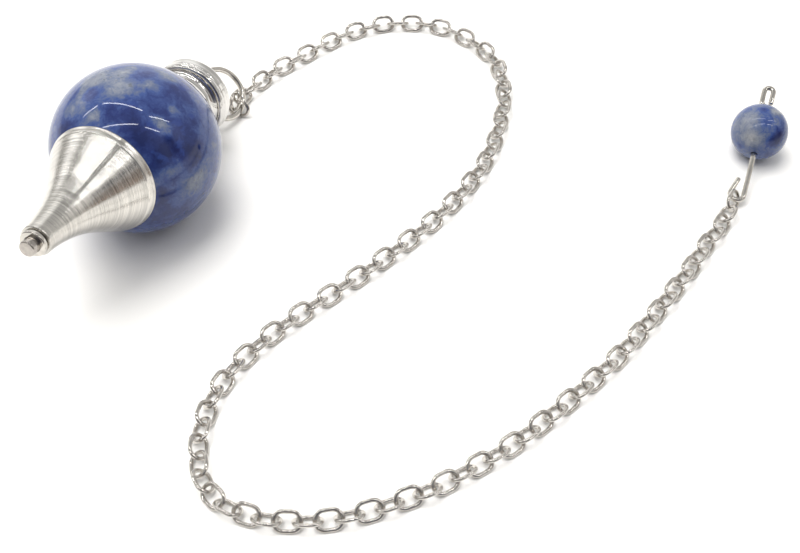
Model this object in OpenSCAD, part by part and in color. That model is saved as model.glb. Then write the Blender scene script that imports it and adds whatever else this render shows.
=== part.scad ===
// Pendulum pendant lying on a flat surface at z = 0.
// A drilled stone ball sits between a turned metal nose and a metal cap. A fine chain of oval links
// runs from a ring on the cap's side to a small stone bead. All sizes are in millimetres.

/* [Ball and rod] */
// Diameter of the stone ball
ball_d = 25; // [24.8:0.1:25.2]
// Diameter of the rod through the pendulum, whose end is the stub at the tip
rod_d = 2.3; // [1.9:0.1:2.4]
// Gap left around the rod and between pieces that are pressed together
fit_gap = 0.05; // [0.03:0.01:0.08]

/* [Nose] */
// Diameter of the nose's rim
rim_d = 16.4; // [16:0.1:17]
// Diameter of the nose's narrow tip
tip_d = 4.4; // [4.2:0.1:4.6]
// Distance from the ball's centre to the nose's tip
nose_reach = 26.9; // [26:0.1:28]
// Diameter of the collar in front of the tip
collar_d = 3.8; // [3.4:0.1:4.2]
// Length of the collar
collar_l = 0.75; // [0.6:0.05:0.9]
// Length of the stub that shows in front of the collar
stub_l = 1.3; // [1:0.05:1.5]

/* [Cap] */
// Diameter of the cap's outer disc
disc_d = 12.7; // [12:0.1:13.2]
// Diameter of the cap's seat on the ball
seat_d = 12.1; // [11.6:0.1:12.4]
// Distance from the ball's centre to the disc's outer face
cap_reach = 19.8; // [19.5:0.1:20]

/* [Ring] */
// Diameter of the ring's wire
ring_wire = 1; // [0.9:0.05:1.05]
// Diameter of the ring, measured along the middle of its wire
ring_d = 8.3; // [8.2:0.05:8.4]

/* [Chain] */
// Length of one link, outside
link_l = 4.14; // [4.12:0.02:4.2]
// Width of one link, outside
link_w = 3.12; // [3.08:0.02:3.2]
// Width of the link's flattened wire, seen on the link's face
link_face = 0.6; // [0.54:0.02:0.62]
// Thickness of the link's flattened wire
link_wire = 0.54; // [0.46:0.02:0.56]

/* [End bead] */
// Diameter of the end bead
bead_d = 8.9; // [8.7:0.1:9.1]
// Diameter of the wire through the bead
pin_wire = 0.86; // [0.76:0.02:0.9]

/* [Hidden] */
$fn = 96;

// Shift that brings the middle of the part's outline to the origin
shift = [-5.28, -9.05, 0];

// The pendulum lies with its nose raised and turned toward the front
lean = 15.7;
heading = -107.8;
ball_r = ball_d / 2;
rod_r = rod_d / 2;
bore_r = rod_r + fit_gap;
seat_r = ball_r + fit_gap;
ball_at = [-38.9, 14.2, ball_r];
aim = [cos(lean) * cos(heading), cos(lean) * sin(heading), sin(lean)];

// Nose: a rounded lip, a narrow wall, then a taper that follows one hollow arc to the tip
rim_r = rim_d / 2;
lip_r = 0.3;
lip_at = 9.85;
tip_r = tip_d / 2;
taper_from = 10.75;
taper_rim_r = rim_r - 0.25;
hollow_r = 24.5;
hollow_from = 15.9;
hollow_steps = 14;

// Collar and stub in front of the nose
collar_r = collar_d / 2;
collar_at = nose_reach + 0.1;
edge = 0.2;
stub_end = collar_at + collar_l + stub_l;

// Cap: seat ring with a bead above it, hollow waist, and a thick disc with round edges
disc_r = disc_d / 2;
seat_ring_r = seat_d / 2;
bead_ring_r = seat_ring_r - 0.05;
step_r = seat_ring_r - 0.35;
disc_edge_r = 0.95;
disc_foot_r = 0.6;
disc_mid = cap_reach - disc_edge_r + 0.05;
disc_foot = disc_mid - 2;
waist_r = 4.75;
waist_hollow_r = 1.15;
waist_at = disc_foot - 1.6;
bead_from = waist_at - 1.8;
bead_to = waist_at - 1.3;

// Eye on the rod's other end, and the ring that hangs in it and leans on the first link
eye_wire = 0.8;
eye_d = 2.9;
eye_at = 21.7;
ring_r = ring_d / 2;
ring_lift = link_wire + 0.13;
ring_steep = 153;
ring_hang = -42;
eye_point = ball_at - eye_at * aim;
ring_rise = eye_point[2] - ring_lift - ring_wire / 2;
ring_tilt = asin(ring_rise / (ring_r * (1 + cos(ring_hang))));
ring_up = [cos(ring_tilt) * cos(ring_steep), cos(ring_tilt) * sin(ring_steep), sin(ring_tilt)];
ring_side = [sin(ring_steep), -cos(ring_steep), 0];
ring_at = eye_point - ring_r * (cos(ring_hang) * ring_up + sin(ring_hang) * ring_side);
ring_low = ring_at - ring_r * ring_up;
ring_run = cos(ring_hang) * ring_side - sin(ring_hang) * ring_up;
aim_down = [sin(lean) * cos(heading), sin(lean) * sin(heading), -cos(lean)];
aim_side = [-sin(heading), cos(heading), 0];
eye_turn = 90 + atan2(ring_run * aim_side, ring_run * aim_down);

// Links: an oval centre line with corners at both ends, and a flattened five-sided wire
link_straight = (link_l - link_w) / 2;
link_bend = (link_w - link_face) / 2;
link_half = [for (a = [-90:30:90]) [link_straight + link_bend * cos(a), link_bend * sin(a)]];
link_line = concat(link_half, [for (p = link_half) -p]);
link_sides = 5;
link_count = len(link_line);
max_pitch = 2.62;
link_roll = 37;

// First links, from the ring's lowest point: x, y, height, turn, pitch, roll
first_links = [
    [0.03, 0.98, 1.47, -19, 0, 68],
    [-0.62, 2.11, 1.87, 74, -35, 82],
    [0.31, 4.24, 1.14, 62, -6, 28]
];

// The chain's run on the surface, point by point from the ring to the bead
run_start = [ring_low[0] + 1.8, ring_low[1] + 6.35, 0];
run_points = [
    [-21.7, 45.3], [-19.2, 47.4], [-16.7, 49.7], [-14.3, 51.8], [-11.8, 53.8], [-9.2, 55.6],
    [-6.9, 56.8], [-4.6, 57.7], [-2.3, 58.3], [0, 58.5], [2.3, 58.5], [4.6, 58.2], [6.8, 57.6],
    [8.9, 56.5], [10.8, 55.1], [12.6, 53.5], [14.1, 51.8], [15.4, 50], [16.5, 47.9], [17.2, 45.4],
    [17.5, 42.3], [17.7, 39.2], [17.4, 36.4], [16.9, 33.9], [16.4, 31], [15.3, 27.4], [13.4, 22.5],
    [10.8, 17.9], [7.8, 13.6], [4.4, 9.5], [0.8, 5.7], [-3, 2], [-7, -1.6], [-11.1, -5.1],
    [-15.1, -8.6], [-18.9, -12.3], [-22.2, -16.3], [-24.5, -20.3], [-25.7, -24], [-26.3, -28.2],
    [-25.9, -32.6], [-24.7, -35.5], [-23.1, -37.4], [-20.7, -38.9], [-16.3, -40.2], [-11, -40.4],
    [-5.9, -39.6], [-0.8, -37.9], [4.2, -35.8], [8.9, -33.1], [13.5, -30.2], [17.8, -26.9],
    [21.9, -23.3], [25.8, -19.7], [29.6, -16], [33.1, -12], [36.4, -7.9], [39.7, -3.6], [42.9, 0.7],
    [45.9, 5.1], [49.1, 9.4]
];

// Bead, its pin and the pin's hook, laid out in the pin's own plane
bead_r = bead_d / 2;
pin_r = pin_wire / 2;
pin_bore_r = pin_r + fit_gap;
bead_at = [57.5, 26.4, bead_r];
pin_heading = -109.5;
pin_drop = 14;
hook_bend = 1.05;
hook_at = 12.35;
hook_close = 15;
hook_leg = 2.7;
loop_bend = 0.72;
loop_from = 4.6;
loop_offset = 60;
loop_top = 8;
loop_leg = 2.3;
loop_knee = loop_from + 2 * loop_bend * sin(loop_offset);

// Last link, held by the hook: x, y and height from the bead's middle, turn, pitch, roll
last_link = [-5.8, -12.33, -3.08, 59, 0, 58];
run_end = [50.42, 11.7, 0];
run_line = concat([run_start], [for (p = run_points) [p[0], p[1], 0]], [run_end]);

// Smooth line through the points: position at u between point i and the next one
function spot(i) = run_line[min(max(i, 0), len(run_line) - 1)];
function curve(i, u) =
    0.5 * (2 * spot(i)
    + (spot(i + 1) - spot(i - 1)) * u
    + (2 * spot(i - 1) - 5 * spot(i) + 4 * spot(i + 1) - spot(i + 2)) * u * u
    + (3 * spot(i) - spot(i - 1) - 3 * spot(i + 1) + spot(i + 2)) * u * u * u);
fine_steps = 6;
fine_line = concat(
    [for (i = [0:len(run_line) - 2]) for (k = [0:fine_steps - 1]) curve(i, k / fine_steps)],
    [run_end]
);
fine_end = len(fine_line) - 1;
fine_length = [for (i = 0, s = 0; i <= fine_end;
    s = s + norm(fine_line[min(i + 1, fine_end)] - fine_line[i]), i = i + 1) s];
run_length = fine_length[fine_end];
step_count = ceil(run_length / max_pitch);
pitch = run_length / step_count;

// Position at a length along the chain's run
function before(s) = max([for (k = [0:fine_end - 1]) if (k == 0 || fine_length[k] <= s) k]);
function between(k, s) =
    fine_line[k] + (fine_line[k + 1] - fine_line[k])
    * (s - fine_length[k]) / (fine_length[k + 1] - fine_length[k]);
function along(s) = between(before(s), s);

// Each link of the run: position, turn, pitch and roll. Links lie on alternate sides.
function rest_height(roll) =
    link_bend * sin(abs(roll)) + norm([link_face * sin(roll), link_wire * cos(roll)]) / 2;
function heading_at(s) = along(min(s + 0.9, run_length)) - along(max(s - 0.9, 0));
function run_link(i, roll) =
    let (p = along(i * pitch), d = heading_at(i * pitch))
    [p[0], p[1], rest_height(roll), atan2(d[1], d[0]), 0, roll];
function roll_of(i) =
    (i % 2 == 0 ? -1 : 1) * (link_roll + 3 * sin(i * 137));
run_links = [for (i = [0:step_count]) run_link(i, roll_of(i))];
hung_links = [for (a = first_links) [ring_low[0] + a[0], ring_low[1] + a[1], a[2], a[3], a[4], a[5]]];
hooked_link = [for (i = [0:5]) last_link[i] + (i < 3 ? bead_at[i] : 0)];
all_links = concat(hung_links, run_links, [hooked_link]);
half_count = ceil(len(all_links) / 2);

// Offset of the link's wire at a corner, so that its sides meet in the corner's mitre
function side_of(i) =
    let (d = link_line[(i + 1) % link_count] - link_line[i % link_count])
    [d[1], -d[0]] / norm(d);
function corner(i) =
    let (a = side_of(i + link_count - 1), b = side_of(i))
    (a + b) / (1 + a * b);
link_points = [for (i = [0:link_count - 1]) for (j = [0:link_sides - 1])
    let (c = corner(i) * cos(j * 360 / link_sides) * link_face / 2)
    [link_line[i][0] + c[0], link_line[i][1] + c[1], sin(j * 360 / link_sides) * link_wire / 2]];
function at(i, j) = (i % link_count) * link_sides + j % link_sides;
link_faces = [for (i = [0:link_count - 1]) for (j = [0:link_sides - 1])
    [at(i, j), at(i, j + 1), at(i + 1, j + 1), at(i + 1, j)]];

// The pin's wire from the loop's open end, over the loop and through the bead to the hook's end
function bend(centre, r, from, step, to) =
    [for (a = [from:step:to]) centre + r * [cos(a), sin(a)]];
hook_turn = 90 + hook_close;
hook_tip = [-cos(hook_close), -sin(hook_close)];
hook_arc = bend([hook_at, hook_bend], hook_bend, -90, 15, hook_turn);
pin_line = concat(
    [[loop_leg - loop_top, -loop_bend]],
    bend([-loop_top, 0], loop_bend, 270, -22.5, 90),
    bend([-loop_knee, 0], loop_bend, 90, -20, 90 - loop_offset),
    bend([-loop_from, loop_bend], loop_bend, -70 - loop_offset, 20, -90),
    hook_arc,
    [hook_arc[len(hook_arc) - 1] + hook_leg * hook_tip]
);
pin_sides = 10;
pin_last = len(pin_line) - 1;
function pin_side_of(i) =
    let (d = pin_line[i + 1] - pin_line[i])
    [d[1], -d[0]] / norm(d);
function pin_corner(i) =
    let (a = pin_side_of(max(i - 1, 0)), b = pin_side_of(min(i, pin_last - 1)))
    (a + b) / (1 + a * b);
pin_points = [for (i = [0:pin_last]) for (j = [0:pin_sides - 1])
    let (c = pin_corner(i) * cos(j * 360 / pin_sides) * pin_r)
    [pin_line[i][0] + c[0], pin_line[i][1] + c[1], sin(j * 360 / pin_sides) * pin_r]];
function pin_at(i, j) = i * pin_sides + j % pin_sides;
pin_faces = concat(
    [for (i = [0:pin_last - 1]) for (j = [0:pin_sides - 1])
        [pin_at(i, j), pin_at(i, j + 1), pin_at(i + 1, j + 1), pin_at(i + 1, j)]],
    [[for (j = [pin_sides - 1:-1:0]) pin_at(0, j)]],
    [[for (j = [0:pin_sides - 1]) pin_at(pin_last, j)]]
);

// Turns a module's z axis to the pendulum's axis, with the origin in the ball's centre
module on_pendulum() {
    translate(shift + ball_at) rotate([0, 90 - lean, heading]) children();
}

// Turns a module's x axis to the pin's axis and its y axis to the hook's side
module on_pin() {
    translate(shift + bead_at) rotate([180, pin_drop, pin_heading]) children();
}

module stone_ball() {
    color("navy") on_pendulum() difference() {
        sphere(r = ball_r);
        cylinder(h = 3 * ball_r, r = bore_r, center = true);
    }
}

module center_rod() {
    color("silver") on_pendulum() union() {
        rotate_extrude() polygon([
            [0, 1.15 - eye_at],
            [rod_r, 1.15 - eye_at],
            [rod_r, stub_end - edge],
            [rod_r - edge / 2, stub_end - 0.05],
            [rod_r - edge, stub_end],
            [0, stub_end]
        ]);
        translate([0, 0, -eye_at]) rotate([90, 0, eye_turn]) rotate_extrude()
            translate([eye_d / 2, 0]) circle(d = eye_wire);
    }
}

// Radius of the nose's hollow arc at a distance t from the ball's centre
function hollow(t) =
    tip_r + hollow_r - sqrt(pow(hollow_r, 2) - pow(nose_reach + 0.7 - t, 2)) - 0.01;

module nose_cone() {
    color("gainsboro") on_pendulum() rotate_extrude() difference() {
        union() {
            polygon(concat(
                [[bore_r, 8], [rim_r - lip_r, 8], [rim_r - 0.03, lip_at], [taper_rim_r, taper_from]],
                [for (k = [0:hollow_steps])
                    let (t = hollow_from + (nose_reach - hollow_from) * k / hollow_steps)
                    [hollow(t), t]],
                [[bore_r, nose_reach]]
            ));
            translate([rim_r - lip_r, lip_at]) circle(r = lip_r);
        }
        circle(r = seat_r);
    }
}

module nose_collar() {
    color("silver") on_pendulum() rotate_extrude() polygon([
        [bore_r, collar_at],
        [collar_r - edge, collar_at],
        [collar_r, collar_at + edge],
        [collar_r, collar_at + collar_l - edge],
        [collar_r - edge, collar_at + collar_l],
        [bore_r, collar_at + collar_l]
    ]);
}

module top_cap() {
    color("silver") on_pendulum() rotate([180, 0, 0]) rotate_extrude() difference() {
        union() {
            difference() {
                polygon([
                    [0.5, 10],
                    [seat_ring_r, 10],
                    [seat_ring_r, bead_from - 0.2],
                    [seat_ring_r - 0.25, bead_from - 0.1],
                    [bead_ring_r, bead_from],
                    [bead_ring_r, bead_to],
                    [step_r, bead_to + 0.1],
                    [step_r, disc_foot],
                    [0.5, disc_foot]
                ]);
                translate([waist_r + waist_hollow_r, waist_at]) circle(r = waist_hollow_r);
            }
            polygon([
                [0.5, disc_foot - 0.5],
                [disc_r - disc_foot_r, disc_foot - 0.5],
                [disc_r - 0.04, disc_foot],
                [disc_r - 0.04, disc_mid],
                [disc_r - disc_edge_r, disc_mid + 0.8],
                [0.5, disc_mid + 0.8]
            ]);
            translate([disc_r - disc_foot_r, disc_foot]) circle(r = disc_foot_r);
            translate([disc_r - disc_edge_r, disc_mid]) circle(r = disc_edge_r);
        }
        circle(r = seat_r);
        translate([-bore_r, 5]) square([2 * bore_r, 20]);
    }
}

module jump_ring() {
    color("silver") translate(shift + ring_at) rotate([0, -ring_tilt, ring_steep])
        rotate_extrude() translate([ring_r, 0]) circle(d = ring_wire);
}

module chain_links(from, to) {
    for (i = [from:to]) {
        a = all_links[i];
        translate(shift + [a[0], a[1], a[2]]) rotate([a[5], -a[4], a[3]])
            polyhedron(points = link_points, faces = link_faces);
    }
}

module chain_upper() {
    color("silver") chain_links(0, half_count - 1);
}

module chain_lower() {
    color("silver") chain_links(half_count, len(all_links) - 1);
}

module bead_pin() {
    color("silver") on_pin() polyhedron(points = pin_points, faces = pin_faces);
}

module end_bead() {
    color("navy") on_pin() rotate([0, 90, 0]) rotate_extrude() intersection() {
        circle(r = bead_r);
        translate([pin_bore_r, -bead_r]) square(2 * bead_r);
    }
}

stone_ball();
center_rod();
nose_cone();
nose_collar();
top_cap();
jump_ring();
chain_upper();
chain_lower();
bead_pin();
end_bead();
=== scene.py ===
# Pendulum pendant on a pale floor: a drilled stone ball with a turned nose and cap, on a link chain
# with a small stone bead at its end
import math
import bpy
import numpy as np
from mathutils import Matrix, Vector


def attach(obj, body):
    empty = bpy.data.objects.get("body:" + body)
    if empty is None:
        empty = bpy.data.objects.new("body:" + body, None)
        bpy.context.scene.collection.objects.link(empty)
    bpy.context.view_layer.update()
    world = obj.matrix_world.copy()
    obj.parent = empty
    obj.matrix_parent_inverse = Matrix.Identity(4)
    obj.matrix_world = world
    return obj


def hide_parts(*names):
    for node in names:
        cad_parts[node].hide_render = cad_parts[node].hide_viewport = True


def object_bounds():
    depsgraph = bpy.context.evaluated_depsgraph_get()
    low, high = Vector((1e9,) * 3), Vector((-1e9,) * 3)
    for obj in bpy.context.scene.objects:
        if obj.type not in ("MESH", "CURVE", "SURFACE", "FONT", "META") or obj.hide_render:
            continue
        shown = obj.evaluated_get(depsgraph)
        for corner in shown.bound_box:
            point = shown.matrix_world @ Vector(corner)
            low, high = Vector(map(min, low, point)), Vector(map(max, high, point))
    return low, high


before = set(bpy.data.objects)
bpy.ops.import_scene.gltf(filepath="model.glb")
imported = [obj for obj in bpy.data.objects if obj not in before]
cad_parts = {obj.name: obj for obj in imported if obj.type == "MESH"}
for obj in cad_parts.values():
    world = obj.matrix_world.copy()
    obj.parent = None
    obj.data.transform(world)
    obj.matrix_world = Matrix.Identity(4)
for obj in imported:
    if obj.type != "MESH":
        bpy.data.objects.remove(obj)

mm = 0.001
cadBox = [list(corner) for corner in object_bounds()]   # the CAD box, before any piece is added
scene = bpy.context.scene
scene.view_settings.view_transform = "Standard"
print("frame loaded, CAD box in mm:", [[round(c / mm, 2) for c in corner] for corner in cadBox])

# Camera, as in the photograph
cameraSettings = {
    "place": (-5.28, -114.77, 127.79),   # mm
    "tilt": 39.6,                        # degrees up from straight down
    "lens": 50.4,
    "sensor": 36,
    "nearest": 4,                        # mm
}
cameraData = bpy.data.cameras.new("pendulumCamera")
cameraData.lens = cameraSettings["lens"]
cameraData.sensor_width = cameraSettings["sensor"]
cameraData.clip_start = cameraSettings["nearest"] * mm
camera = bpy.data.objects.new("pendulumCamera", cameraData)
camera.location = Vector(cameraSettings["place"]) * mm
camera.rotation_euler = (math.radians(cameraSettings["tilt"]), 0, 0)
scene.collection.objects.link(camera)
scene.camera = camera

# Places of the two turned parts, in mm and degrees: the pendulum's axis is its own z, toward the nose,
# and the wire through the end bead runs along its own x
pendulumSettings = {
    "centre": (-44.18, 5.15, 12.5), "lean": 15.7, "heading": -107.8,
    "bore": 1.2,      # radius of the hole that the rod passes through
    "seat": 12.55,    # radius of the dished seats of nose and cap
}
beadPlaceSettings = {"centre": (52.22, 17.35, 4.45), "drop": 14, "heading": -109.5}


def turn(axis, degrees):
    return Matrix.Rotation(math.radians(degrees), 4, axis)


pendulumTurn = turn("Z", pendulumSettings["heading"]) @ turn("Y", 90 - pendulumSettings["lean"])
pinTurn = turn("Z", beadPlaceSettings["heading"]) @ turn("Y", beadPlaceSettings["drop"]) @ turn("X", 180)
pinPlace = Matrix.Translation(Vector(beadPlaceSettings["centre"]) * mm) @ pinTurn


# Mesh helpers: outlines are in mm, and meshes in metres
def moved(points, place):
    m = np.array(place)
    return np.asarray(points) @ m[:3, :3].T + m[:3, 3]


def circleLine(radius, steps):
    around = [2 * math.pi * k / steps for k in range(steps)]
    return [(radius * math.cos(a), radius * math.sin(a)) for a in around]


def arc(centreR, centreZ, radius, start, end, steps):
    angles = [math.radians(start + (end - start) * k / steps) for k in range(steps + 1)]
    return [(centreR + radius * math.cos(a), centreZ + radius * math.sin(a)) for a in angles]


def nearPoints(r, z, offsets):
    return [(r + outward, z + along) for outward, along in offsets]


def softened(outline, steps=6):
    # points with a third number get that rounding
    out = []
    count = len(outline)
    for i, point in enumerate(outline):
        radius = point[2] if len(point) > 2 else 0
        here = Vector(point[:2])
        if radius <= 0:
            out.append((here.x, here.y))
            continue
        before = (Vector(outline[i - 1][:2]) - here).normalized()
        after = (Vector(outline[(i + 1) % count][:2]) - here).normalized()
        half = before.angle(after) / 2
        reach = radius / math.tan(half)
        centre = here + (before + after).normalized() * radius / math.sin(half)
        first, last = here + before * reach - centre, here + after * reach - centre
        swing = first.angle_signed(last)
        for k in range(steps + 1):
            a = -swing * k / steps
            out.append((centre.x + first.x * math.cos(a) - first.y * math.sin(a),
                        centre.y + first.x * math.sin(a) + first.y * math.cos(a)))
    return out


def finishMesh(name, points, faces, crease=32, uv=None):
    mesh = bpy.data.meshes.new(name)
    mesh.from_pydata([tuple(p) for p in points], [], faces)
    mesh.validate()
    mesh.polygons.foreach_set("use_smooth", [True] * len(mesh.polygons))
    if uv is not None:
        layer = mesh.uv_layers.new(name="around")
        layer.data.foreach_set("uv", np.asarray(uv, float).ravel())
    mesh.set_sharp_from_angle(angle=math.radians(crease))
    obj = bpy.data.objects.new(name, mesh)
    scene.collection.objects.link(obj)
    return obj


def latheParts(outline, steps, poleRadius=1e-6):
    # the outline runs round the section with the solid on its left, and points on the axis become poles
    points, rows, faces, uv = [], [], [], []
    for r, z in outline:
        if r < poleRadius:
            rows.append([len(points)] * steps)
            points.append((0, 0, z * mm))
        else:
            rows.append(list(range(len(points), len(points) + steps)))
            points.extend((x * mm, y * mm, z * mm) for x, y in circleLine(r, steps))
    lengths = [0.0]
    closed = outline + [outline[0]]
    for a, b in zip(closed[:-1], closed[1:]):
        lengths.append(lengths[-1] + math.dist(a, b))
    count = len(outline)
    for i in range(count):
        low, high = rows[i], rows[(i + 1) % count]
        if len(set(low)) == 1 and len(set(high)) == 1:
            continue
        v0, v1 = lengths[i] / lengths[-1], lengths[i + 1] / lengths[-1]
        for k in range(steps):
            n = (k + 1) % steps
            u0, u1 = k / steps, (k + 1) / steps
            corners = [(low[k], (u0, v0)), (low[n], (u1, v0)), (high[n], (u1, v1)), (high[k], (u0, v1))]
            seen, kept = set(), []
            for index, place in corners:
                if index not in seen:
                    seen.add(index)
                    kept.append((index, place))
            faces.append([index for index, place in kept])
            uv.extend(place for index, place in kept)
    return np.array(points), faces, uv


def onPendulum(name, points, faces, uv=None, crease=32):
    # a piece laid out along the pendulum's z, with its origin in the ball's centre
    obj = finishMesh(name, moved(points, pendulumTurn), faces, crease, uv)
    obj.location = Vector(pendulumSettings["centre"]) * mm
    return obj


def unitRows(rows):
    return rows / np.linalg.norm(rows, axis=1)[:, None]


def sideways(rows):
    return np.stack([rows[:, 1], -rows[:, 0]], 1)


def roundedEnd(ring, centre, step, radius, endRound, degrees):
    a = math.radians(degrees)
    middle = np.array([*centre, 0.0])
    push = np.array([*step, 0.0]) * endRound * math.sin(a)
    return middle + (ring - middle) * (1 - endRound * (1 - math.cos(a)) / radius) + push


def sweepParts(line, radius, sides, closed, endRound=0.12, depth=None):
    # a wire along a flat line, with softened ends where it is open; depth is its half thickness
    line = np.array(line, float)
    depth = depth or radius
    if not closed:
        start = (line[0] - line[1]) / np.linalg.norm(line[0] - line[1])
        end = (line[-1] - line[-2]) / np.linalg.norm(line[-1] - line[-2])
        line[0] -= start * endRound
        line[-1] -= end * endRound
    ahead = np.roll(line, -1, 0) - line
    if not closed:
        ahead[-1] = ahead[-2]
    behind = np.roll(ahead, 1, 0)
    if not closed:
        behind[0] = ahead[0]
    out = sideways(unitRows(unitRows(ahead) + unitRows(behind)))
    stretch = 1 / (out * sideways(behind)).sum(1) * np.linalg.norm(behind, axis=1)   # full width in bends
    rings = []
    around = 2 * math.pi * np.arange(sides) / sides
    for point, side in zip(line, out * stretch[:, None]):
        flat = point[None] + np.cos(around)[:, None] * side[None] * radius
        rings.append(np.c_[flat, np.sin(around) * depth])
    if not closed:
        startCaps = [roundedEnd(rings[0], line[0], start, radius, endRound, a) for a in (90, 60, 30)]
        endCaps = [roundedEnd(rings[-1], line[-1], end, radius, endRound, a) for a in (30, 60, 90)]
        rings = startCaps + rings + endCaps
    count = len(rings)
    points = np.vstack(rings) * mm
    faces = []
    for i in range(count if closed else count - 1):
        low, high = i * sides, ((i + 1) % count) * sides
        for j in range(sides):
            n = (j + 1) % sides
            faces.append([low + j, low + n, high + n, high + j])
    if not closed:
        faces.append(list(range(sides - 1, -1, -1)))
        faces.append([(count - 1) * sides + j for j in range(sides)])
    return points, faces


def joined(parts):
    points, faces, shift = [], [], 0
    for p, f in parts:
        points.append(p)
        faces.extend([[i + shift for i in face] for face in f])
        shift += len(p)
    return np.vstack(points), faces


def standFor(obj, node):
    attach(obj, "root")
    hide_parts(node)
    return obj


# Stone ball: the drilled sphere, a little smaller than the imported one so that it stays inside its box
ballSettings = {"radius": 12.496, "rows": 110, "steps": 192, "crease": 40}
boreAngle = math.degrees(math.asin(pendulumSettings["bore"] / ballSettings["radius"]))
ballOutline = arc(0, 0, ballSettings["radius"], -90 + boreAngle, 90 - boreAngle, ballSettings["rows"])
ballPoints, ballFaces, ballUv = latheParts(ballOutline, ballSettings["steps"])
stoneBall = onPendulum("stoneBall", ballPoints, ballFaces, ballUv, ballSettings["crease"])
standFor(stoneBall, "stone_ball")
print("ball made")

# Nose: rounded lip on the ball, straight wall with a fine groove, hollow taper to the tip.
# Radii and heights along the axis are in mm, arc ends in degrees. Edges are offsets outward and along.
noseSettings = {
    "rim": 8.2, "lip": 0.3, "lipAt": 9.85, "lipEnds": (-53.5, 42), "lipSteps": 14,
    "wall": 7.95, "wallFrom": 10.75, "wallRows": (12.0, 13.0, 14.0, 15.0, 15.6),
    "wallFoot": ((0.012, -0.05), (-0.004, -0.012)), "wallEase": (-0.002, 0.05),
    "groove": 0.05, "grooveFrom": 10.95, "grooveRun": (0.05, 0.11, 0.16),
    "hollow": 24.5, "hollowFrom": 15.9, "hollowPast": 0.7, "hollowInset": 0.01, "hollowSteps": 60,
    "tip": 2.2, "tipAt": 26.9, "tipFrom": 0.12, "tipEdge": ((-0.04, -0.03), (-0.12, 0)),
    "boreEdge": ((0.05, 0), (0, -0.05)), "seatEnd": 50, "seatSteps": 24, "steps": 224,
}


def noseHollow(t):
    n = noseSettings
    fromMiddle = n["tipAt"] + n["hollowPast"] - t
    return n["tip"] + n["hollow"] - math.sqrt(n["hollow"] ** 2 - fromMiddle ** 2) - n["hollowInset"]


def noseWall(t):
    n = noseSettings
    share = (t - n["wallFrom"]) / (n["hollowFrom"] - n["wallFrom"])
    return n["wall"] + (noseHollow(n["hollowFrom"]) - n["wall"]) * share


def noseOutline():
    n = noseSettings
    bore, seat = pendulumSettings["bore"], pendulumSettings["seat"]
    start, cut, end = n["wallFrom"], n["grooveFrom"], n["tipAt"]
    grooveIn, grooveOut, grooveEnd = [cut + run for run in n["grooveRun"]]
    out = arc(n["rim"] - n["lip"], n["lipAt"], n["lip"], *n["lipEnds"], n["lipSteps"])
    out += nearPoints(n["wall"], start, n["wallFoot"])
    out += nearPoints(noseWall(start + n["wallEase"][1]), start, [n["wallEase"]])
    out += [(noseWall(cut), cut)]
    out += [(noseWall(t) - n["groove"], t) for t in (grooveIn, grooveOut)]
    out += [(noseWall(t), t) for t in (grooveEnd, *n["wallRows"])]
    hollowLength = end - n["tipFrom"] - n["hollowFrom"]
    for k in range(n["hollowSteps"] + 1):
        t = n["hollowFrom"] + hollowLength * k / n["hollowSteps"]
        out.append((noseHollow(t), t))
    out += nearPoints(n["tip"], end, n["tipEdge"]) + nearPoints(bore, end, n["boreEdge"])
    return out + arc(0, 0, seat, 90 - math.degrees(math.asin(bore / seat)), n["seatEnd"], n["seatSteps"])


nosePoints, noseFaces, noseUv = latheParts(noseOutline(), noseSettings["steps"])
noseCone = onPendulum("noseCone", nosePoints, noseFaces, noseUv)
standFor(noseCone, "nose_cone")

# Collar and rod: the rod's front end is the stub, and its other end carries the eye
collarSettings = {"radius": 1.9, "start": 27.0, "length": 0.75, "edge": 0.2, "steps": 128}
rodSettings = {
    "radius": 1.15, "from": -20.55, "to": 29.05, "backEdge": 0.1, "edge": 0.2, "steps": 96,
    "eyeAt": -21.7, "eyeRadius": 1.45, "eyeWire": 0.4, "eyeTurn": -65.9, "eyeSteps": 72, "eyeSides": 20,
}


def collarOutline():
    c = collarSettings
    bore = pendulumSettings["bore"]
    low, high = c["start"], c["start"] + c["length"]
    rounded = [(c["radius"], z, c["edge"]) for z in (low, high)]
    return softened([(bore, low), *rounded, (bore, high)])


def rodParts():
    r = rodSettings
    low, high = r["from"], r["to"]
    body = softened([(0, low), (r["radius"], low, r["backEdge"]), (r["radius"], high, r["edge"]), (0, high)])
    bodyPoints, bodyFaces = latheParts(body, r["steps"])[:2]
    eyeLine = circleLine(r["eyeRadius"], r["eyeSteps"])
    eyePoints, eyeFaces = sweepParts(eyeLine, r["eyeWire"], r["eyeSides"], True)
    eyePlace = Matrix.Translation((0, 0, r["eyeAt"] * mm)) @ turn("Z", r["eyeTurn"]) @ turn("X", 90)
    return joined([(bodyPoints, bodyFaces), (moved(eyePoints, eyePlace), eyeFaces)])


collarPoints, collarFaces, collarUv = latheParts(collarOutline(), collarSettings["steps"])
noseCollar = onPendulum("noseCollar", collarPoints, collarFaces, collarUv)
standFor(noseCollar, "nose_collar")
centerRod = onPendulum("centerRod", *rodParts())
standFor(centerRod, "center_rod")
print("nose, collar and rod made")

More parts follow.
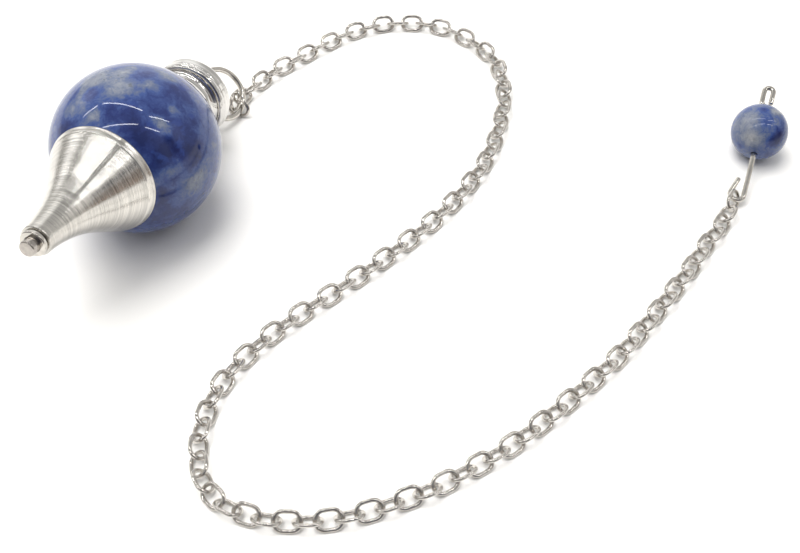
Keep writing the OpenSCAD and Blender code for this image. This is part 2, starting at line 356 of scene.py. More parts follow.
# Cap: seat ring, bead, hollow waist, and a thick disc with round edges and fine turned lines.
# Arcs are the radius and height of their middle and their own radius, then their ends in degrees.
capSettings = {
    "seatRing": 6.05, "seatRingUp": 0.03, "shoulder": 13.3,
    "shoulderEdge": ((0, -0.07), (-0.03, -0.01), (-0.24, 0.09), (-0.24, 0.12)),
    "bead": 6.0, "beadFrom": 13.5, "beadFoot": ((-0.02, -0.01), (0, 0.05)),
    "beadTo": 14.0, "beadEdge": ((0, -0.05), (-0.03, -0.01)),
    "step": 5.7, "stepEdge": ((0.02, 0.08), (0, 0.12)),
    "hollow": (5.9, 15.3, 1.15), "hollowEnds": (260, 112), "hollowSteps": 30,
    "foot": (5.75, 16.9, 0.6), "footEnds": (-117.6, 20.5),
    "edge": (5.4, 18.9, 0.95), "edgeEnds": (-16, 98), "edgeLast": (102, 120), "edgeLastSteps": 4,
    "discSteps": 40, "wall": 6.31, "wallFrom": 17.15, "wallLength": 1.45, "wallSteps": 48,
    "lines": ((16.66, 0.04), (17.45, 0.06), (18.35, 0.03)), "lineWidth": 0.16,   # height and depth
    "face": 19.7, "faceDish": 0.05, "boreEdge": ((0.06, 0), (0, -0.06)),
    "seatIn": 0.03, "seatSteps": 20, "steps": 192,
}


def capLines(points):
    # turned lines are cut into the disc
    c = capSettings
    out = []
    for r, z in points:
        cuts = [d * max(0, 1 - abs(z - at) / (c["lineWidth"] / 2)) for at, d in c["lines"]]
        out.append((r - sum(cuts) if r > c["step"] else r, z))
    return out


def capOutline():
    c = capSettings
    bore, seat = pendulumSettings["bore"], pendulumSettings["seat"]
    out = [(c["seatRing"], math.sqrt(seat ** 2 - c["seatRing"] ** 2) + c["seatRingUp"])]
    out += nearPoints(c["seatRing"], c["shoulder"], c["shoulderEdge"])
    out += nearPoints(c["bead"], c["beadFrom"], c["beadFoot"])
    out += nearPoints(c["bead"], c["beadTo"], c["beadEdge"])
    out += nearPoints(c["step"], c["beadTo"], c["stepEdge"])
    out += arc(*c["hollow"], *c["hollowEnds"], c["hollowSteps"])
    wallSteps = c["wallSteps"]
    disc = arc(*c["foot"], *c["footEnds"], c["discSteps"])
    disc += [(c["wall"], c["wallFrom"] + c["wallLength"] * k / wallSteps) for k in range(wallSteps + 1)]
    disc += arc(*c["edge"], *c["edgeEnds"], c["discSteps"])
    out += capLines(disc) + arc(*c["edge"], *c["edgeLast"], c["edgeLastSteps"])
    edgeR, edgeZ, edgeRadius = c["edge"]
    inner = edgeR - math.sqrt(edgeRadius ** 2 - (c["face"] - edgeZ) ** 2)
    out += [(inner - c["faceDish"], c["face"])] + nearPoints(bore, c["face"], c["boreEdge"])
    seatFrom = math.degrees(math.acos(bore / seat))
    seatTo = math.degrees(math.acos((c["seatRing"] - c["seatIn"]) / seat))
    return out + arc(0, 0, seat, seatFrom, seatTo, c["seatSteps"])


capPoints, capFaces, capUv = latheParts(capOutline(), capSettings["steps"])
topCap = onPendulum("topCap", moved(capPoints, turn("X", 180)), capFaces, capUv)
standFor(topCap, "top_cap")
print("cap made")


# Poses of loose wire pieces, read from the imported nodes: middle, long way and width
def pieceClouds(node, weld=1e-7):
    # the points of each loose piece, where points nearer than weld (metres) are one
    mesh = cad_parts[node].data
    points = np.array([v.co for v in mesh.vertices], float)
    keys, merged = np.unique(np.round(points / weld).astype(np.int64), axis=0, return_inverse=True)
    merged = merged.ravel()
    owner = list(range(len(keys)))

    def root(i):
        while owner[i] != i:
            owner[i] = owner[owner[i]]
            i = owner[i]
        return i

    for face in mesh.polygons:
        ids = [root(int(merged[v])) for v in face.vertices]
        for other in ids[1:]:
            owner[other] = ids[0]
    groups = {}
    for i in range(len(keys)):
        groups.setdefault(root(i), []).append(keys[i] * weld)
    return [np.array(g) for g in groups.values()]


def restingPose(cloud):
    centre = cloud.mean(0)
    axes = np.linalg.svd(cloud - centre, full_matrices=False)[2]
    if np.linalg.det(axes) < 0:
        axes[2] = -axes[2]
    place = Matrix.Identity(4)
    for i in range(3):
        for j in range(3):
            place[i][j] = axes[j][i]
        place[i][3] = centre[i]
    return place


# Ring of round wire
ringSettings = {"radius": 4.15, "wire": 0.495, "steps": 144, "sides": 28}
ringLine = circleLine(ringSettings["radius"], ringSettings["steps"])
ringPlace = restingPose(pieceClouds("jump_ring")[0])
ringPoints, ringFaces = sweepParts(ringLine, ringSettings["wire"], ringSettings["sides"], True)
jumpRing = finishMesh("jumpRing", moved(ringPoints, ringPlace), ringFaces)
standFor(jumpRing, "jump_ring")

# Chain: every link is an oval of slightly flattened wire
linkSettings = {
    "straight": 0.51, "straightRow": 0.12, "bend": 1.255, "bendSteps": 15,
    "width": 0.3, "depth": 0.268, "sides": 18,
}


def linkLine():
    s = linkSettings
    right = arc(s["straight"], 0, s["bend"], -90, 90, s["bendSteps"])
    top = [(s["straightRow"], s["bend"]), (-s["straightRow"], s["bend"])]
    return right + top + [(-x, -y) for x, y in right + top]


linkPoints, linkFaces = sweepParts(linkLine(), linkSettings["width"], linkSettings["sides"], True,
                                   depth=linkSettings["depth"])
chains = []
for chainNode, chainName in (("chain_upper", "chainUpper"), ("chain_lower", "chainLower")):
    links = [(moved(linkPoints, restingPose(cloud)), linkFaces) for cloud in pieceClouds(chainNode)]
    chainPoints, chainFaces = joined(links)
    chain = finishMesh(chainName, np.clip(chainPoints, cadBox[0], cadBox[1]), chainFaces)
    chains.append(standFor(chain, chainNode))
    print(chainName, "made of", len(links), "links")

# Pin through the end bead: an open loop at one end, and at the other a hook that holds the chain
pinSettings = {
    "wire": 0.42, "sides": 20,
    "loopTop": 8, "loopBend": 0.72, "loopFrom": 4.6, "loopOffset": 60, "loopLeg": 2.3,
    "loopSteps": 16, "kneeSteps": 6, "stem": (-3.0, 0.0, 3.0, 6.0, 9.0),
    "hookAt": 12.35, "hookBend": 1.05, "hookClose": 15, "hookLeg": 2.7, "hookSteps": 20,
}


def pinLine():
    p = pinSettings
    loopBend, hookBend, offset = p["loopBend"], p["hookBend"], p["loopOffset"]
    knee = p["loopFrom"] + 2 * loopBend * math.sin(math.radians(offset))
    line = [(p["loopLeg"] - p["loopTop"], -loopBend)]
    line += arc(-p["loopTop"], 0, loopBend, 270, 90, p["loopSteps"])
    line += arc(-knee, 0, loopBend, 90, 90 - offset, p["kneeSteps"])
    line += arc(-p["loopFrom"], loopBend, loopBend, -90 - offset, -90, p["kneeSteps"])
    line += [(x, 0) for x in p["stem"]]
    line += arc(p["hookAt"], hookBend, hookBend, -90, 90 + p["hookClose"], p["hookSteps"])
    a = math.radians(p["hookClose"])
    x, y = line[-1]
    line += [(x - f * p["hookLeg"] * math.cos(a), y - f * p["hookLeg"] * math.sin(a)) for f in (0.5, 1)]
    return line


pinPoints, pinFaces = sweepParts(pinLine(), pinSettings["wire"], pinSettings["sides"], False)
beadPin = finishMesh("beadPin", moved(pinPoints, pinPlace), pinFaces)
standFor(beadPin, "bead_pin")

# End bead
endBeadSettings = {"radius": 4.445, "bore": 0.48, "boreEdge": 0.08, "rows": 72, "steps": 128, "crease": 40}


def endBeadOutline():
    b = endBeadSettings
    edge = math.degrees(math.asin((b["bore"] + b["boreEdge"]) / b["radius"]))
    out = arc(0, 0, b["radius"], -90 + edge, 90 - edge, b["rows"])
    top = math.sqrt(b["radius"] ** 2 - b["bore"] ** 2) - b["boreEdge"]
    return out + [(b["bore"], top), (b["bore"], -top)]


beadPoints, beadFaces, beadUv = latheParts(endBeadOutline(), endBeadSettings["steps"])
beadPoints = moved(beadPoints, pinTurn @ turn("Y", 90))
endBead = finishMesh("endBead", beadPoints, beadFaces, endBeadSettings["crease"], beadUv)
endBead.location = Vector(beadPlaceSettings["centre"]) * mm
standFor(endBead, "end_bead")
print("ring, pin and bead made")


# Shader helpers
def newGroup(name, inputs, outputs):
    group = bpy.data.node_groups.new(name, "ShaderNodeTree")
    for socketName, kind, value in inputs:
        socket = group.interface.new_socket(socketName, in_out="INPUT", socket_type=kind)
        if value is not None:
            socket.default_value = value
    for socketName, kind in outputs:
        group.interface.new_socket(socketName, in_out="OUTPUT", socket_type=kind)
    start = group.nodes.new("NodeGroupInput")
    end = group.nodes.new("NodeGroupOutput")
    return group, start, end


def addNode(tree, kind, inputs=None, **settings):
    node = tree.nodes.new(kind)
    for key, value in settings.items():
        setattr(node, key, value)
    for key, value in (inputs or {}).items():
        if isinstance(value, bpy.types.NodeSocket):
            tree.links.new(value, node.inputs[key])
        else:
            node.inputs[key].default_value = value
    return node


def addMath(tree, operation, *values):
    return addNode(tree, "ShaderNodeMath", dict(enumerate(values)), operation=operation).outputs[0]


def addVector(tree, operation, *values, output=0):
    node = addNode(tree, "ShaderNodeVectorMath", dict(enumerate(values)), operation=operation)
    return node.outputs[output]


def addNoise(tree, vector, scale, detail=2.0, roughness=0.5, distortion=0.0, output=0):
    node = addNode(tree, "ShaderNodeTexNoise", {
        "Vector": vector, "Scale": scale, "Detail": detail, "Roughness": roughness, "Distortion": distortion,
    })
    return node.outputs[output]


def addWarp(tree, vector, noise, reach):
    # the place, pushed about by a noise that is 0.5 on average
    push = addVector(tree, "SUBTRACT", addNoise(tree, vector, *noise, output=1), (0.5, 0.5, 0.5))
    return addVector(tree, "MULTIPLY_ADD", push, (reach,) * 3, vector)


def addShare(tree, value, share, total):
    # total, moved by a share of how far the value is from 0.5
    return addMath(tree, "MULTIPLY_ADD", addMath(tree, "SUBTRACT", value, 0.5), share, total)


def addRange(tree, value, low, high, toLow=0.0, toHigh=1.0, smooth=False):
    kind = "SMOOTHSTEP" if smooth else "LINEAR"
    return addNode(tree, "ShaderNodeMapRange", {
        "Value": value, "From Min": low, "From Max": high, "To Min": toLow, "To Max": toHigh,
    }, interpolation_type=kind).outputs[0]


def addRamp(tree, value, stops):
    node = addNode(tree, "ShaderNodeValToRGB", {0: value})
    ramp = node.color_ramp
    while len(ramp.elements) < len(stops):
        ramp.elements.new(0.5)
    for element, (place, colour) in zip(ramp.elements, stops):
        element.position = place
        element.color = (*colour, 1)
    return node.outputs[0]


def addGroup(tree, group, inputs):
    return addNode(tree, "ShaderNodeGroup", inputs, node_tree=group)


def addBump(tree, shader, strength, depth, height):
    bump = addNode(tree, "ShaderNodeBump", {"Strength": strength, "Distance": depth * mm, "Height": height})
    tree.links.new(bump.outputs[0], shader.inputs["Normal"])


def mixColours(tree, mask, *colours):
    first, second = [c if isinstance(c, bpy.types.NodeSocket) else (*c, 1) for c in colours]
    node = addNode(tree, "ShaderNodeMix", {0: mask, 6: first, 7: second}, data_type="RGBA")
    return node.outputs[2]


def times(values, share):
    return tuple(value * share for value in values)


def newMaterial(name, **sockets):
    material = bpy.data.materials.new(name)
    material.use_nodes = True
    tree = material.node_tree
    shader = tree.nodes["Principled BSDF"]
    for key, value in sockets.items():
        shader.inputs[key.replace("_", " ")].default_value = value
    return material, tree, shader


def inMillimetres(tree):
    place = addNode(tree, "ShaderNodeTexCoord").outputs["Object"]
    return addNode(tree, "ShaderNodeVectorMath", {0: place, "Scale": 1 / mm}, operation="SCALE").outputs[0]


# Shared effect: soft round patch at a set place, 1 in its core and 0 beyond its size
patchCore = 0.15   # share of the size
patchGroup, patchIn, patchOut = newGroup("placedPatch", [
    ("Vector", "NodeSocketVector", None), ("Centre", "NodeSocketVector", None),
    ("Size", "NodeSocketFloat", 1.0), ("Strength", "NodeSocketFloat", 1.0),
], [("Value", "NodeSocketFloat")])
patchDistance = addVector(patchGroup, "DISTANCE", patchIn.outputs["Vector"], patchIn.outputs["Centre"],
                          output="Value")
patchShare = addMath(patchGroup, "DIVIDE", patchDistance, patchIn.outputs["Size"])
patchFall = addRange(patchGroup, patchShare, patchCore, 1.0, 1.0, 0.0, smooth=True)
patchGroup.links.new(addMath(patchGroup, "MULTIPLY", patchFall, patchIn.outputs["Strength"]),
                     patchOut.inputs["Value"])

# Shared effect: the blue stone. Its depth goes from navy at 0 to pale cloud at 1.
# Noises are scale, detail, roughness and distortion. Those without a scale take the cloud's, or so
# many times it.
blueStoneSettings = {
    "warp": (0.3, 3.0, 0.6), "warpReach": 2.6, "start": 0.3,
    "cloud": (5.0, 0.58, 0.4), "fineScale": 4.4, "fine": (4.0, 0.6, 0.8), "fineShare": 0.5,
    "grain": (3.2, 3.0, 0.7), "grainHeight": 0.25,
    "ramp": [
        (0.0, (0.012, 0.02, 0.085)), (0.18, (0.02, 0.034, 0.135)), (0.36, (0.045, 0.077, 0.22)),
        (0.5, (0.098, 0.125, 0.21)), (0.62, (0.165, 0.187, 0.242)), (0.8, (0.262, 0.272, 0.295)),
        (1.0, (0.355, 0.36, 0.37)),
    ],
    "speck": (1.5, 4.0, 0.72), "speckEdge": (0.56, 0.66), "speckFrom": (0.4, 0.6),
    "speckColour": (0.06, 0.07, 0.08), "speckHeight": -0.6,
    "blueScale": 2.6, "blue": (3.0, 0.55), "blueEdge": (0.56, 0.68), "blueShare": 0.8,
    "blueUntil": (0.2, 0.5), "blueColour": (0.025, 0.05, 0.2),
    "paleFrom": (0.5, 0.8),
}
stoneGroup, stoneIn, stoneOut = newGroup("blueStone", [
    ("Vector", "NodeSocketVector", None), ("Placed", "NodeSocketFloat", 0.0),
    ("Cloud Scale", "NodeSocketFloat", 0.16), ("Cloud Amount", "NodeSocketFloat", 1.0),
    ("Paleness", "NodeSocketFloat", 0.0), ("Grain", "NodeSocketFloat", 0.2),
    ("Specks", "NodeSocketFloat", 0.6),
], [("Color", "NodeSocketColor"), ("Pale Mask", "NodeSocketFloat"), ("Height", "NodeSocketFloat")])


def buildStone(tree, start, end):
    s = blueStoneSettings
    vector = start.outputs["Vector"]
    warped = addWarp(tree, vector, s["warp"], s["warpReach"])
    scale = start.outputs["Cloud Scale"]
    cloud = addNoise(tree, warped, scale, *s["cloud"])
    fine = addNoise(tree, warped, addMath(tree, "MULTIPLY", scale, s["fineScale"]), *s["fine"])
    grain = addNoise(tree, vector, *s["grain"])
    depth = addShare(tree, cloud, start.outputs["Cloud Amount"], s["start"])
    depth = addShare(tree, fine, s["fineShare"], depth)
    depth = addShare(tree, grain, start.outputs["Grain"], depth)
    depth = addMath(tree, "ADD", depth, start.outputs["Placed"])
    depth = addMath(tree, "ADD", depth, start.outputs["Paleness"])
    colour = addRamp(tree, depth, s["ramp"])
    # dark mineral specks gather in the pale clouds
    speckMask = addRange(tree, addNoise(tree, vector, *s["speck"]), *s["speckEdge"], smooth=True)
    specks = addMath(tree, "MULTIPLY", speckMask, addRange(tree, depth, *s["speckFrom"], smooth=True))
    speckShare = addMath(tree, "MULTIPLY", specks, start.outputs["Specks"])
    colour = mixColours(tree, speckShare, colour, s["speckColour"])
    # a few spots of clear blue, where there is no cloud
    blueNoise = addNoise(tree, warped, addMath(tree, "MULTIPLY", scale, s["blueScale"]), *s["blue"])
    blueSpots = addRange(tree, blueNoise, *s["blueEdge"], 0, s["blueShare"], smooth=True)
    noCloud = addRange(tree, depth, *s["blueUntil"], 1, 0, smooth=True)
    colour = mixColours(tree, addMath(tree, "MULTIPLY", blueSpots, noCloud), colour, s["blueColour"])
    height = addMath(tree, "ADD", addMath(tree, "MULTIPLY", specks, s["speckHeight"]),
                     addMath(tree, "MULTIPLY", grain, s["grainHeight"]))
    tree.links.new(colour, end.inputs["Color"])
    tree.links.new(addRange(tree, depth, *s["paleFrom"]), end.inputs["Pale Mask"])
    tree.links.new(height, end.inputs["Height"])


buildStone(stoneGroup, stoneIn, stoneOut)

# Shared effect: turned lines round the z axis, in mm. Every kind of line is a noise, stretched its own
# way.
turnedLineSettings = {
    "fine": (1.0, 4.0, 0.75), "fineHeight": 0.6, "fineShade": 0.6,
    "coarseStretch": (0.5, 0.5, 0.3), "coarse": (1.0, 3.0, 0.6), "coarseHeight": 0.8, "coarseShade": 0.4,
    "raggedStretch": (3.2, 3.2, 1.0), "ragged": (1.0, 3.0, 0.65), "raggedEdge": (0.55, 0.7),
    "raggedHeight": -0.12,
}
turnedGroup, turnedIn, turnedOut = newGroup("turnedLines", [
    ("Vector", "NodeSocketVector", None), ("Line Scale", "NodeSocketFloat", 9.0),
    ("Drift", "NodeSocketFloat", 0.35),
], [("Height", "NodeSocketFloat"), ("Shade", "NodeSocketFloat"), ("Ragged", "NodeSocketFloat")])


def buildTurned(tree, start, end):
    s = turnedLineSettings
    drift = start.outputs["Drift"]
    squeeze = addNode(tree, "ShaderNodeCombineXYZ", {
        "X": drift, "Y": drift, "Z": start.outputs["Line Scale"]}).outputs[0]
    ringed = addVector(tree, "MULTIPLY", start.outputs["Vector"], squeeze)
    fine = addNoise(tree, ringed, *s["fine"])
    coarse = addNoise(tree, addVector(tree, "MULTIPLY", ringed, s["coarseStretch"]), *s["coarse"])
    raggedNoise = addNoise(tree, addVector(tree, "MULTIPLY", ringed, s["raggedStretch"]), *s["ragged"])
    ragged = addRange(tree, raggedNoise, *s["raggedEdge"], smooth=True)
    height = addMath(tree, "MULTIPLY_ADD", fine, s["fineHeight"],
                     addMath(tree, "MULTIPLY", coarse, s["coarseHeight"]))
    height = addMath(tree, "MULTIPLY_ADD", ragged, s["raggedHeight"], height)
    shade = addMath(tree, "MULTIPLY_ADD", fine, s["fineShade"],
                    addMath(tree, "MULTIPLY", coarse, s["coarseShade"]))
    tree.links.new(height, end.inputs["Height"])
    tree.links.new(shade, end.inputs["Shade"])
    tree.links.new(ragged, end.inputs["Ragged"])


buildTurned(turnedGroup, turnedIn, turnedOut)

# Shared effect: handling marks on polished metal, smudges, hairlines and dimples
handledSettings = {
    "smudgeScale": 0.7, "smudge": (4.0, 0.6), "smudgeEdge": (0.35, 0.7),
    "hairStretch": (7.0, 0.8, 3.0), "hair": (3.0, 0.7, 0.4), "hairHeight": 0.35,
    "dimpleScale": 1.6, "dimple": (2.0, 0.5),
}
handledGroup, handledIn, handledOut = newGroup("handledMarks", [
    ("Vector", "NodeSocketVector", None), ("Scale", "NodeSocketFloat", 1.0),
], [("Smudge", "NodeSocketFloat"), ("Height", "NodeSocketFloat")])


def buildHandled(tree, start, end):
    s = handledSettings
    vector, scale = start.outputs["Vector"], start.outputs["Scale"]
    smudge = addNoise(tree, vector, addMath(tree, "MULTIPLY", scale, s["smudgeScale"]), *s["smudge"])
    hair = addNoise(tree, addVector(tree, "MULTIPLY", vector, s["hairStretch"]), scale, *s["hair"])
    dimple = addNoise(tree, vector, addMath(tree, "MULTIPLY", scale, s["dimpleScale"]), *s["dimple"])
    tree.links.new(addRange(tree, smudge, *s["smudgeEdge"], smooth=True), end.inputs["Smudge"])
    tree.links.new(addMath(tree, "MULTIPLY_ADD", hair, s["hairHeight"], dimple), end.inputs["Height"])


buildHandled(handledGroup, handledIn, handledOut)

# What both stones share: lengths in mm
stoneSettings = {
    "ior": 1.47, "specular": 0.46, "paleRoughness": 0.015, "bendNoise": (0.45, 3.0, 0.6),
    "bump": 0.03, "bumpDepth": 0.02,
}

# Stone of the ball: patches are set from the middle of the ball, in mm: place, size, strength
ballStoneSettings = {
    "roughness": 0.04, "clouds": 0.85, "cloudScale": 0.17, "paleness": 0.0, "bend": 1.5,
    "grain": 0.2, "specks": 0.6,
    "patches": [
        # pale clouds
        ((-1.8, 1.2, 12.3), 5.5, 0.12), ((-1.3, 2.0, 12.3), 3.4, 0.18), ((-4.5, 2.4, 11.4), 3.4, 0.22),
        ((0.5, 3.5, 12.0), 2.6, 0.22), ((0.2, -1.1, 12.4), 2.4, 0.22), ((2.4, -0.6, 12.3), 2.4, 0.2),
        ((4.8, 0.6, 11.5), 2.2, 0.18), ((5.7, 4.0, 10.4), 2.6, 0.24), ((-2.9, -4.9, 11.1), 1.7, 0.26),
        ((-6.6, -2.7, 10.3), 2.8, 0.2), ((-5.6, -0.6, 11.2), 1.8, 0.14), ((9.4, 2.2, 8.0), 1.8, 0.18),
        ((5.5, -5.0, 10.0), 1.4, 0.24), ((7.4, -2.7, 9.7), 1.3, 0.22), ((6.5, -5.7, 9.1), 1.6, 0.26),
        ((9.5, -8.1, 0.6), 3.4, 0.18), ((10.6, -6.6, 0.8), 2.8, 0.1), ((11.5, -4.6, 1.4), 2.0, 0.12),
        ((7.3, -8.8, 5.1), 2.0, 0.24), ((12.0, -2.1, 2.7), 1.5, 0.12), ((7.4, -10.1, -0.5), 2.2, 0.18),
        ((6.2, -9.7, 4.8), 1.2, 0.12), ((9.5, -0.7, 8.1), 2.2, 0.1),
        # deep blue between them
        ((-3.9, -1.4, 11.8), 2.0, -0.24), ((-0.6, -5.2, 11.3), 2.4, -0.2), ((2.2, -5.2, 11.0), 2.0, -0.18),
        ((4.4, -2.2, 11.5), 2.6, -0.05), ((7.2, 1.1, 10.1), 2.4, -0.07), ((6.3, -8.6, 6.5), 1.8, -0.1),
        ((2.7, 2.1, 12.0), 2.2, -0.12), ((2.9, -7.7, 9.4), 3.4, -0.26), ((6.7, -7.9, 7.1), 3.4, -0.34),
        ((9.6, -5.6, 5.8), 3.6, -0.26), ((5.7, -10.9, 2.1), 1.4, -0.2), ((7.5, -9.6, 2.9), 1.4, -0.16),
        ((-7.8, -5.0, 8.4), 2.0, -0.16), ((5.2, -11.3, 0.5), 2.2, -0.12), ((6.5, -10.4, -2.0), 5.0, -0.1),
        ((9.6, -7.1, 4.0), 2.8, -0.14), ((4.2, -10.1, 6.0), 2.4, -0.12), ((10.6, -5.0, 4.5), 2.0, -0.12),
        ((4.0, -11.4, -2.8), 2.4, -0.08), ((9.7, -7.0, -3.7), 2.0, -0.08),
    ],
}

# Stone of the end bead, in the same way from its own middle
beadStoneSettings = {
    "roughness": 0.03, "clouds": 0.34, "cloudScale": 0.3, "paleness": 0.13, "bend": 0.8,
    "grain": 0.1, "specks": 0.25,
    "patches": [
        ((-3.2, -1.4, 2.7), 3.4, 0.2), ((-2.5, -3.3, 1.4), 1.9, 0.22), ((-1.3, -3.7, 2.0), 1.8, 0.14),
        ((-1.8, -0.4, 4.0), 2.4, 0.08), ((1.6, 0.2, 4.1), 1.3, 0.28), ((2.6, 1.2, 3.4), 1.4, 0.3),
        ((-3.9, -2.2, 0.2), 1.6, 0.1), ((3.5, 1.2, 2.4), 1.4, 0.18), ((-0.5, 0.3, 4.4), 1.3, -0.22),
        ((-0.4, -2.0, 4.0), 1.2, -0.08), ((2.1, -3.2, 2.3), 1.8, -0.38), ((2.6, -1.6, 3.2), 1.2, -0.1),
        ((1.2, -4.0, 1.6), 1.8, -0.4), ((0.7, -4.2, -1.2), 1.8, -0.16), ((-3.6, -2.6, -0.6), 0.8, -0.2),
    ],
}


def stoneMaterial(name, settings):
    s = stoneSettings
    low = settings["roughness"]
    material, tree, shader = newMaterial(name, Roughness=low, IOR=s["ior"], Specular_IOR_Level=s["specular"])
    vector = inMillimetres(tree)
    bent = addWarp(tree, vector, s["bendNoise"], settings["bend"])
    total = None
    for centre, size, strength in settings["patches"]:
        patch = addGroup(tree, patchGroup, {
            "Vector": bent, "Centre": centre, "Size": size, "Strength": strength}).outputs["Value"]
        total = patch if total is None else addMath(tree, "ADD", total, patch)
    stone = addGroup(tree, stoneGroup, {
        "Vector": vector, "Placed": total, "Cloud Scale": settings["cloudScale"],
        "Cloud Amount": settings["clouds"], "Paleness": settings["paleness"],
        "Grain": settings["grain"], "Specks": settings["specks"]})
    tree.links.new(stone.outputs["Color"], shader.inputs["Base Color"])
    rough = addRange(tree, stone.outputs["Pale Mask"], 0, 1, low, low + s["paleRoughness"])
    tree.links.new(rough, shader.inputs["Roughness"])
    addBump(tree, shader, s["bump"], s["bumpDepth"], stone.outputs["Height"])
    return material


stoneBall.data.materials.append(stoneMaterial("ballStone", ballStoneSettings))
endBead.data.materials.append(stoneMaterial("beadStone", beadStoneSettings))
print("stones painted")

# What the turned metals share: sharp round the axis and wide along it, with lines and worn streaks
turnedSettings = {
    "anisotropicTurn": 0.25, "shadeEdge": (0.42, 0.58), "marksScale": 0.6, "smudgeRoughness": 0.02,
    "raggedShare": 0.35, "raggedColour": (0.3, 0.28, 0.26),
    "roughEdge": (0.3, 0.7), "roughShares": (0.8, 1.15),
}
noseMetalSettings = {
    "color": (0.73, 0.705, 0.66), "roughness": 0.12, "anisotropic": 0.85, "bump": 0.7, "bumpDepth": 0.03,
    "lineScale": 13.0, "lineShade": 0.66, "drift": 0.1,
}

# Polished metal of the cap, with finer turned lines
capMetalSettings = {
    "color": (0.73, 0.715, 0.69), "roughness": 0.045, "anisotropic": 0.3, "bump": 0.1, "bumpDepth": 0.01,
    "lineScale": 5.0, "lineShade": 0.82, "drift": 0.1,
}


def turnedMaterial(name, settings):
    s = turnedSettings
    color, roughness = settings["color"], settings["roughness"]
    material, tree, shader = newMaterial(
        name, Metallic=1.0, Roughness=roughness, Anisotropic=settings["anisotropic"],
        Anisotropic_Rotation=s["anisotropicTurn"], Base_Color=(*color, 1))
    lined = addNode(tree, "ShaderNodeMapping", {
        "Vector": inMillimetres(tree), "Rotation": pendulumTurn.to_euler()}, vector_type="TEXTURE").outputs[0]
    lines = addGroup(tree, turnedGroup, {
        "Vector": lined, "Line Scale": settings["lineScale"], "Drift": settings["drift"]}).outputs
    marks = addGroup(tree, handledGroup, {"Vector": lined, "Scale": s["marksScale"]}).outputs
    shade = addRange(tree, lines["Shade"], *s["shadeEdge"])
    colour = mixColours(tree, shade, times(color, settings["lineShade"]), color)
    raggedMask = addMath(tree, "MULTIPLY", lines["Ragged"], s["raggedShare"])
    colour = mixColours(tree, raggedMask, colour, s["raggedColour"])
    tree.links.new(colour, shader.inputs["Base Color"])
    rough = addRange(tree, lines["Shade"], *s["roughEdge"], *times(s["roughShares"], roughness))
    rough = addMath(tree, "MULTIPLY_ADD", marks["Smudge"], s["smudgeRoughness"], rough)
    tree.links.new(rough, shader.inputs["Roughness"])
    addBump(tree, shader, settings["bump"], settings["bumpDepth"], lines["Height"])
    tangent = addNode(tree, "ShaderNodeTangent", direction_type="UV_MAP", uv_map="around")
    tree.links.new(tangent.outputs[0], shader.inputs["Tangent"])
    return material


noseCone.data.materials.append(turnedMaterial("noseMetal", noseMetalSettings))
topCap.data.materials.append(turnedMaterial("capMetal", capMetalSettings))

# Polished wire and collar, the duller rod, and the chain
polishedShared = {"smudgeShade": 0.78, "smudgeRoughness": 0.08, "bumpDepth": 0.03}
polishedSettings = {"color": (0.66, 0.63, 0.58), "roughness": 0.05, "marksScale": 1.2, "bump": 0.15}
rodMetalSettings = {"color": (0.5, 0.465, 0.43), "roughness": 0.2, "marksScale": 1.6, "bump": 0.3}
chainMetalSettings = {"color": (0.64, 0.61, 0.57), "roughness": 0.06, "marksScale": 2.0, "bump": 0.2}


def polishedMaterial(name, settings):
    s = polishedShared
    color, roughness = settings["color"], settings["roughness"]
    material, tree, shader = newMaterial(name, Metallic=1.0, Roughness=roughness, Base_Color=(*color, 1))
    marks = addGroup(tree, handledGroup, {
        "Vector": inMillimetres(tree), "Scale": settings["marksScale"]}).outputs
    colour = mixColours(tree, marks["Smudge"], color, times(color, s["smudgeShade"]))
    tree.links.new(colour, shader.inputs["Base Color"])
    rough = addRange(tree, marks["Smudge"], 0, 1, roughness, roughness + s["smudgeRoughness"])
    tree.links.new(rough, shader.inputs["Roughness"])
    addBump(tree, shader, settings["bump"], s["bumpDepth"], marks["Height"])
    return material


for materialName, settings, pieces in (
        ("polishedMetal", polishedSettings, [noseCollar, jumpRing, beadPin]),
        ("rodMetal", rodMetalSettings, [centerRod]),
        ("chainMetal", chainMetalSettings, chains)):
    metal = polishedMaterial(materialName, settings)
    for piece in pieces:
        piece.data.materials.append(metal)
print("metals painted")

# Floor: a wide sheet of white card, a hair below the part
floorSettings = {
    "size": 1600, "drop": 0.01, "roughness": 0.6,
    "tone": (0.01, 3.0), "toneEdge": (0.3, 0.7), "tones": ((0.9, 0.895, 0.88), (0.925, 0.92, 0.905)),
    "fibre": (3.0, 3.0), "bump": 0.05, "bumpDepth": 0.1,
}
half = floorSettings["size"] / 2
floorCorners = [(x * mm, y * mm, -floorSettings["drop"] * mm)
                for x, y in ((-half, -half), (half, -half), (half, half), (-half, half))]
floorMesh = bpy.data.meshes.new("whiteCard")
floorMesh.from_pydata(floorCorners, [], [[0, 1, 2, 3]])
whiteCard = bpy.data.objects.new("whiteCard", floorMesh)
scene.collection.objects.link(whiteCard)
cardMaterial, cardTree, cardShader = newMaterial("whiteCard", Roughness=floorSettings["roughness"])
cardVector = inMillimetres(cardTree)
cardNoise = addNoise(cardTree, cardVector, *floorSettings["tone"])
cardTone = addRange(cardTree, cardNoise, *floorSettings["toneEdge"])
cardTree.links.new(mixColours(cardTree, cardTone, *floorSettings["tones"]), cardShader.inputs["Base Color"])
addBump(cardTree, cardShader, floorSettings["bump"], floorSettings["bumpDepth"],
        addNoise(cardTree, cardVector, *floorSettings["fibre"]))
floorMesh.materials.append(cardMaterial)

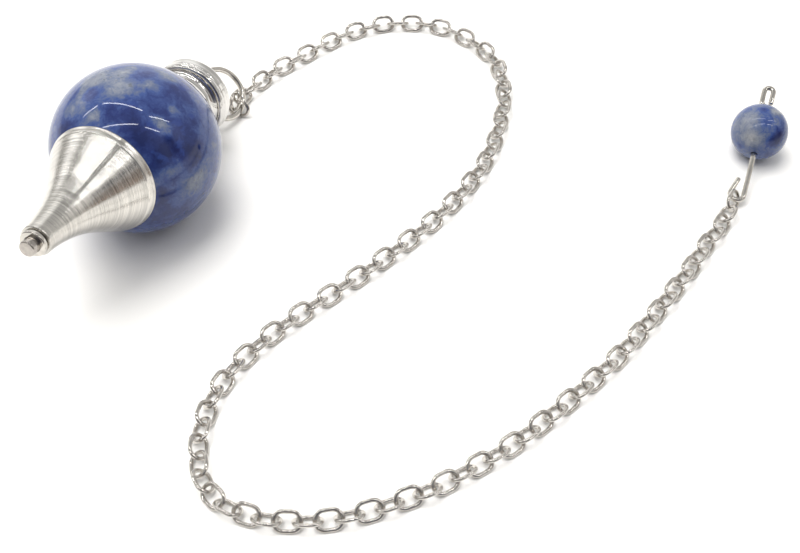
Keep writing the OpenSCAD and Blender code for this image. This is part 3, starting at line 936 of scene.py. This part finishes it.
# Studio: rows of long tubes overhead, and a wide soft lamp that only lights and isn't seen in the metal
lampSettings = {
    "height": 600,       # mm
    "tubeWidth": 14,
    # middle, length, turn, power
    "tubes": [
        ((-132, 138), 540, -14.6, 0.46), ((-143, -160), 500, 4.3, 0.42), ((-684, 186), 400, 5.4, 0.36),
        ((-660, -198), 441, 4.3, 0.36), ((443, 50), 428, 10, 0.34), ((363, -179), 296, -4.8, 0.24),
    ],
    "fillPlace": (-185, 115, 720), "fillSize": (700, 540), "fillPower": 5.5, "fillColor": (1.0, 0.98, 0.955),
}


def softLamp(name, place, size, power, spin=0.0):
    lampData = bpy.data.lights.new(name, "AREA")
    lampData.shape = "RECTANGLE"
    lampData.size, lampData.size_y = size[0] * mm, size[1] * mm
    lampData.energy = power
    lamp = bpy.data.objects.new(name, lampData)
    lamp.location = Vector(place) * mm
    lamp.rotation_euler = (0, 0, math.radians(spin))
    scene.collection.objects.link(lamp)
    return lamp


for k, (middle, length, spin, power) in enumerate(lampSettings["tubes"]):
    tubeSize = (length, lampSettings["tubeWidth"])
    softLamp(f"tube{k + 1}", (*middle, lampSettings["height"]), tubeSize, power, spin)
fillLamp = softLamp("fillLamp", *[lampSettings[key] for key in ("fillPlace", "fillSize", "fillPower")])
fillLamp.data.color = lampSettings["fillColor"]
fillLamp.rotation_euler = (-fillLamp.location).to_track_quat("-Z", "Y").to_euler()
fillLamp.visible_glossy = False

# Room: a plain pale surround, with brighter and darker things standing in it that the metal mirrors
roomSettings = {
    "horizon": (0.66, 0.65, 0.63), "walls": (0.62, 0.615, 0.6), "zenith": (0.48, 0.48, 0.475),
    "wallsFrom": (0.0, 0.35), "zenithFrom": (0.4, 0.95), "strength": 1.0,
    # direction, size, colour
    "shades": [
        ((-0.16, 0.76, 0.62), 0.42, (1.4, 1.4, 1.38)),
        ((-0.7, 0.54, 0.46), 0.31, (1.75, 1.75, 1.75)),
        ((-0.1, 0.97, 0.2), 0.6, (1.25, 1.25, 1.24)),
        ((-0.79, 0.61, 0.03), 0.22, (0.45, 0.44, 0.42)),
        ((0.87, -0.02, 0.48), 0.36, (1.0, 0.98, 0.95)),
        ((0.68, -0.12, 0.72), 0.24, (1.4, 1.4, 1.38)),
        ((0.1, -0.78, 0.62), 0.8, (0.1, 0.1, 0.12)),
        ((0.45, -0.85, 0.3), 0.6, (0.07, 0.07, 0.1)),
        ((-0.2, -0.97, 0.15), 0.6, (0.16, 0.12, 0.1)),
        ((-0.75, -0.6, 0.15), 0.7, (0.2, 0.19, 0.18)),
        ((0.93, -0.33, 0.1), 0.26, (0.3, 0.21, 0.16)),
        ((0.9, -0.31, 0.3), 0.22, (0.14, 0.085, 0.065)),
        ((0.82, -0.25, 0.52), 0.19, (0.02, 0.02, 0.05)),
    ],
}
world = bpy.data.worlds.new("whiteRoom")
world.use_nodes = True
scene.world = world
roomTree = world.node_tree
roomDirection = addNode(roomTree, "ShaderNodeTexCoord").outputs["Generated"]
roomHeight = addNode(roomTree, "ShaderNodeSeparateXYZ", {0: roomDirection}).outputs["Z"]
wallsMask = addRange(roomTree, roomHeight, *roomSettings["wallsFrom"], smooth=True)
roomColour = mixColours(roomTree, wallsMask, roomSettings["horizon"], roomSettings["walls"])
zenithMask = addRange(roomTree, roomHeight, *roomSettings["zenithFrom"], smooth=True)
roomColour = mixColours(roomTree, zenithMask, roomColour, roomSettings["zenith"])
for direction, size, colour in roomSettings["shades"]:
    shadePatch = addGroup(roomTree, patchGroup, {
        "Vector": roomDirection, "Centre": direction, "Size": size, "Strength": 1.0}).outputs["Value"]
    roomColour = mixColours(roomTree, shadePatch, roomColour, colour)
roomLight = roomTree.nodes["Background"]
roomTree.links.new(roomColour, roomLight.inputs["Color"])
roomLight.inputs["Strength"].default_value = roomSettings["strength"]
print("floor, lamps and room made")
